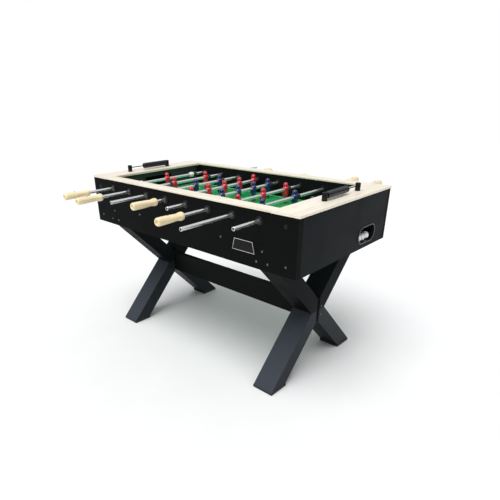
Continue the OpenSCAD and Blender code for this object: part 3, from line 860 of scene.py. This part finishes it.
def make_bearings():
    """The flanged housings of all the rods, outside and inside, with their screws."""
    housings = bmesh.new()
    screws = bmesh.new()
    for line, _, _ in ROD_LINES:
        x, z = rod_axis(line)
        for end in (-1, 1):
            face_y, wall_y = end * panel_face_y, end * well_y
            add_lathe(housings, in_mm(HOUSING_PROFILE), (x, face_y, z), (0, end, 0), 48, closed=True)
            add_lathe(housings, in_mm(INNER_FLANGE_PROFILE), (x, wall_y, z), (0, end, 0), 48, closed=True)
            for turn in (45, 135, 225, 315):
                across = SCREW_CIRCLE_RADIUS * math.cos(math.radians(turn))
                up = SCREW_CIRCLE_RADIUS * math.sin(math.radians(turn))
                add_lathe(screws, in_mm(FLANGE_SCREW), (x + across, face_y, z + up), (0, end, 0), 14)
    finish_mesh(housings)
    piece = new_piece("bearing_housings", housings, materials["black_plastic"], 35)
    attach(piece, "table")
    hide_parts("rod_bearings")
    finish_mesh(screws)
    small = new_piece("bearing_screws", screws, materials["dark_screw"], 40)
    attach(small, "table")


LINER_BORE = 8.0 * MM
LINER_RADIUS = 9.95 * MM
# The lip of a liner: radius and distance from its outer face.
LINER_LIP = [(8.0, -0.5), (8.6, 0), (11.6, 0), (12.4, -0.6), (12.4, -2), (9.95, -2)]


def make_liners(line):
    """The two liners that turn with a rod."""
    x, z = rod_axis(line)
    _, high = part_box(f"{line}_liners")
    rim = high[1]
    inner_end = well_y - rim
    profile = in_mm(LINER_LIP) + [(LINER_RADIUS, inner_end), (LINER_BORE, inner_end)]
    bm = bmesh.new()
    for end in (-1, 1):
        add_lathe(bm, profile, (x, end * rim, z), (0, end, 0), 40, closed=True)
    finish_mesh(bm)
    piece = new_piece(f"{line}_liner_sleeves", bm, materials["liner"], 40)
    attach(piece, f"{line}_bearing")
    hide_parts(f"{line}_liners")


player = player_mesh()
for line, count, side in ROD_LINES:
    make_players(line, count, player, -side)
    make_rod(line, count)
    make_handle(line, side)
    make_bumpers(line, count, side)
    make_liners(line)
make_bearings()


# ---- balls ------------------------------------------------------------------

BALL_RADIUS = 17.5 * MM
BALL_GAP = 0.5 * MM
# The width and depth of a ball's grooves, as shares of its radius.
GROOVE_WIDTH = 0.02
GROOVE_DEPTH = 0.02


def ball_mesh():
    """A ball with shallow grooves round twelve five-sided and twenty six-sided panels."""
    bm = bmesh.new()
    seam_layer = bm.verts.layers.float.new("seam")
    bmesh.ops.create_icosphere(bm, subdivisions=1, radius=1)
    edge = bm.edges[:][0].calc_length()
    bmesh.ops.bevel(bm, geom=bm.verts[:], offset=edge / 3, segments=1, affect="VERTICES")
    panels = bm.faces[:]
    for _ in range(2):
        bmesh.ops.inset_individual(bm, faces=panels, thickness=GROOVE_WIDTH)
    panel_points = {vert for face in panels for vert in face.verts}
    for vert in bm.verts:
        vert[seam_layer] = 0.0 if vert in panel_points else 1.0
    bmesh.ops.triangulate(bm, faces=panels)
    bmesh.ops.subdivide_edges(bm, edges=bm.edges[:], cuts=3, use_grid_fill=True)
    for vert in bm.verts:
        depth = GROOVE_DEPTH * min(1.0, vert[seam_layer])
        vert.co = vert.co.normalized() * BALL_RADIUS * (1 - depth)
    finish_mesh(bm)
    mesh = bpy.data.meshes.new("ball")
    bm.to_mesh(mesh)
    bm.free()
    return mesh


def make_balls():
    """The balls that lie in both cups, each turned its own way."""
    low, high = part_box("balls")
    x = high[0] - BALL_RADIUS
    last_y = high[1] - BALL_RADIUS
    side_z, middle_z = high[2] - BALL_RADIUS, low[2] + BALL_RADIUS
    step = 2 * BALL_RADIUS + BALL_GAP
    mesh = ball_mesh()
    bm = bmesh.new()
    for end in (-1, 1):
        for i, z in enumerate((side_z, middle_z, side_z)):
            y = last_y - step * i
            turn = Matrix.Rotation(0.9 * i + 0.4 * end, 4, "X") @ Matrix.Rotation(1.3 * i + end, 4, "Z")
            copy = mesh.copy()
            copy.transform(Matrix.Translation((end * x, end * y, z)) @ turn)
            bm.from_mesh(copy)
            bpy.data.meshes.remove(copy)
    piece = new_piece("cup_balls", bm, materials["ball"], 180)
    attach(piece, "table")
    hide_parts("balls")


make_balls()


# ---- scorers ----------------------------------------------------------------

POST_RADIUS = 12 * MM
POST_GAP = 0.5 * MM
SCORER_ROD_RADIUS = 2.5 * MM
# A post's foot: radius and height over the top frame. Its head: radius and height over its own top.
POST_FOOT = [(0, 0), (11.4, 0), (12, 0.8), (12, 9), (11.1, 10), (11.1, 12), (12, 13)]
POST_HEAD = [(12, -3), (11, -1), (9, 0), (4, 0), (3.4, -1), (0, -1)]


def make_scorer_frames():
    """Grooved posts with a thin rod between each pair."""
    _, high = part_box("scorer_frames")
    beads_low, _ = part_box("right_score_beads")
    bead_x = middle("right_score_beads", 0)
    bead_z = middle("right_score_beads", 2)
    height = high[2] - top_z
    post = in_mm(POST_FOOT) + [(radius, height + up) for radius, up in in_mm(POST_HEAD)]
    first, last = beads_low[1] - POST_GAP - POST_RADIUS, high[1] - POST_RADIUS
    bm = bmesh.new()
    for end in (-1, 1):
        for y in (last, first):
            add_lathe(bm, post, (end * bead_x, end * y, top_z), (0, 0, 1), 40)
        add_lathe(bm, [(0, first), (SCORER_ROD_RADIUS, first), (SCORER_ROD_RADIUS, last), (0, last)],
                  (end * bead_x, 0, bead_z), (0, end, 0), 20)
    finish_mesh(bm)
    piece = new_piece("scorer_posts", bm, materials["black_plastic"], 35)
    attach(piece, "table")
    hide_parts("scorer_frames")


BEAD_COUNT = 10
BEAD_BORE = 2.6 * MM


def make_beads(side):
    """Round-edged beads in a row."""
    node = f"{side}_score_beads"
    low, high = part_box(node)
    length = (high[1] - low[1]) / BEAD_COUNT
    radius = (high[2] - low[2]) / 2
    half = [(BEAD_BORE + 1.5 * MM, 0.6 * MM), (radius - 3.5 * MM, 0.3 * MM),
            (radius - 1.0 * MM, 1.4 * MM), (radius, 4.0 * MM)]
    outline = half + [(r, length - along) for r, along in reversed(half)]
    profile = [(BEAD_BORE, 0.8 * MM)] + smooth_curve(outline, 4) + [(BEAD_BORE, length - 0.8 * MM)]
    bm = bmesh.new()
    for i in range(BEAD_COUNT):
        start = (middle(node, 0), low[1] + i * length, middle(node, 2))
        add_lathe(bm, profile, start, (0, 1, 0), 40, closed=True)
    finish_mesh(bm)
    piece = new_piece(f"{side}_beads", bm, materials["bead"], 50)
    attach(piece, f"{side}_beads")
    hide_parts(node)


make_scorer_frames()
for side in ("left", "right"):
    make_beads(side)


# ---- blank badge on the front panel -----------------------------------------

BADGE_X = 423 * MM
BADGE_Z = 706 * MM
BADGE_TOP_HALF = 50 * MM
BADGE_BOTTOM_HALF = 62 * MM
BADGE_HALF_HEIGHT = 25 * MM
BADGE_SINK = 0.5 * MM


def make_badge_layer(name, material, shrink, depth):
    """One layer of the badge, smaller all round by shrink and standing out of the panel by depth."""
    top, bottom = BADGE_TOP_HALF - shrink, BADGE_BOTTOM_HALF - shrink
    up = BADGE_HALF_HEIGHT - shrink
    corners = [(-bottom, -up), (bottom, -up), (top, up), (-top, up)]
    bm = bmesh.new()
    loops = []
    for y in (BADGE_SINK - panel_face_y, -depth - panel_face_y):
        loops.append([bm.verts.new((BADGE_X + u, y, BADGE_Z + v)) for u, v in corners])
    for i in range(4):
        j = (i + 1) % 4
        bm.faces.new((loops[0][i], loops[0][j], loops[1][j], loops[1][i]))
    bm.faces.new(loops[0])
    bm.faces.new(loops[1])
    finish_mesh(bm)
    piece = new_piece(name, bm, material)
    add_bevel(piece, 0.4 * MM, 2)
    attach(piece, "table")


def make_badge():
    """A plain plate with a bright border, wider at the bottom than at the top."""
    make_badge_layer("badge_border", materials["plate_edge"], 0, 1.0 * MM)
    make_badge_layer("badge_plate", materials["plate"], 2.2 * MM, 1.5 * MM)


make_badge()


# ---- camera, light and floor ------------------------------------------------

CAMERA_PLACE = (1.564, -1.673, 1.278)
# How far the camera turns from +Y, looks down and leans, in degrees.
CAMERA_YAW = 44.02
CAMERA_PITCH = 26.04
CAMERA_ROLL = -0.85


def make_camera():
    """The camera stands off the near corner, at +X and -Y, and looks down on the table."""
    camera = bpy.data.objects.new("camera", bpy.data.cameras.new("camera"))
    bpy.context.scene.collection.objects.link(camera)
    yaw, pitch, roll = (math.radians(angle) for angle in (CAMERA_YAW, CAMERA_PITCH, CAMERA_ROLL))
    forward = Vector((-math.sin(yaw) * math.cos(pitch),
                      math.cos(yaw) * math.cos(pitch),
                      -math.sin(pitch)))
    level_right = Vector((math.cos(yaw), math.sin(yaw), 0))
    level_up = level_right.cross(forward)
    right = math.cos(roll) * level_right + math.sin(roll) * level_up
    up = right.cross(forward)
    turn = Matrix((right, up, -forward)).transposed().to_4x4()
    camera.matrix_world = Matrix.Translation(CAMERA_PLACE) @ turn
    camera.data.lens = 31.11
    camera.data.sensor_width = 36
    camera.data.shift_x = 0.052
    camera.data.shift_y = 0.109
    camera.data.clip_end = 50
    bpy.context.scene.camera = camera


def add_light(name, bearing, elevation, strength, width, colour=(1, 1, 1)):
    """A wide soft light. Its bearing from +X, its elevation and its width are in degrees."""
    light = bpy.data.objects.new(name, bpy.data.lights.new(name, "SUN"))
    bpy.context.scene.collection.objects.link(light)
    light.data.energy = strength
    light.data.angle = math.radians(width)
    light.data.color = colour
    bearing, elevation = math.radians(bearing), math.radians(elevation)
    towards = Vector((math.cos(elevation) * math.cos(bearing),
                      math.cos(elevation) * math.sin(bearing),
                      math.sin(elevation)))
    light.rotation_euler = towards.to_track_quat("Z", "Y").to_euler()


def make_floor():
    """A wide pale floor."""
    bm = bmesh.new()
    bmesh.ops.create_grid(bm, x_segments=1, y_segments=1, size=12)
    nodes = Nodes("studio_floor")
    mottle = nodes.blotches(3, detail=3)
    nodes.colour(nodes.ramp(mottle, (0.3, (0.79, 0.79, 0.79)), (0.7, (0.81, 0.81, 0.81))))
    nodes.set(Roughness=0.9)
    floor = new_piece("floor", bm, nodes.material)


HORIZON_LIGHT = 0.1
CEILING_LIGHT = 0.62


def make_world():
    """White to the camera, and a light that is bright above and dim towards the horizon."""
    world = bpy.data.worlds.new("studio")
    bpy.context.scene.world = world
    world.use_nodes = True
    tree = world.node_tree
    seen = tree.nodes["Background"]
    seen.inputs["Color"].default_value = (1, 1, 1, 1)
    seen.inputs["Strength"].default_value = 1.0
    lighting = tree.nodes.new("ShaderNodeBackground")
    lighting.inputs["Color"].default_value = (0.96, 0.98, 1, 1)
    direction = tree.nodes.new("ShaderNodeTexCoord")
    split = tree.nodes.new("ShaderNodeSeparateXYZ")
    rise = tree.nodes.new("ShaderNodeMapRange")
    rise.inputs["From Min"].default_value = 0.05
    rise.inputs["From Max"].default_value = 0.4
    rise.inputs["To Min"].default_value = HORIZON_LIGHT
    rise.inputs["To Max"].default_value = CEILING_LIGHT
    tree.links.new(direction.outputs["Generated"], split.inputs["Vector"])
    tree.links.new(split.outputs["Z"], rise.inputs["Value"])
    tree.links.new(rise.outputs["Result"], lighting.inputs["Strength"])
    path = tree.nodes.new("ShaderNodeLightPath")
    choose = tree.nodes.new("ShaderNodeMixShader")
    tree.links.new(path.outputs["Is Camera Ray"], choose.inputs["Fac"])
    tree.links.new(lighting.outputs["Background"], choose.inputs[1])
    tree.links.new(seen.outputs["Background"], choose.inputs[2])
    tree.links.new(choose.outputs["Shader"], tree.nodes["World Output"].inputs["Surface"])
    bpy.context.scene.view_settings.view_transform = "Standard"


make_camera()
make_floor()
make_world()
add_light("key", bearing=-84, elevation=66, strength=2.55, width=44)
add_light("side", bearing=8, elevation=38, strength=0.12, width=60, colour=(0.95, 0.98, 1))
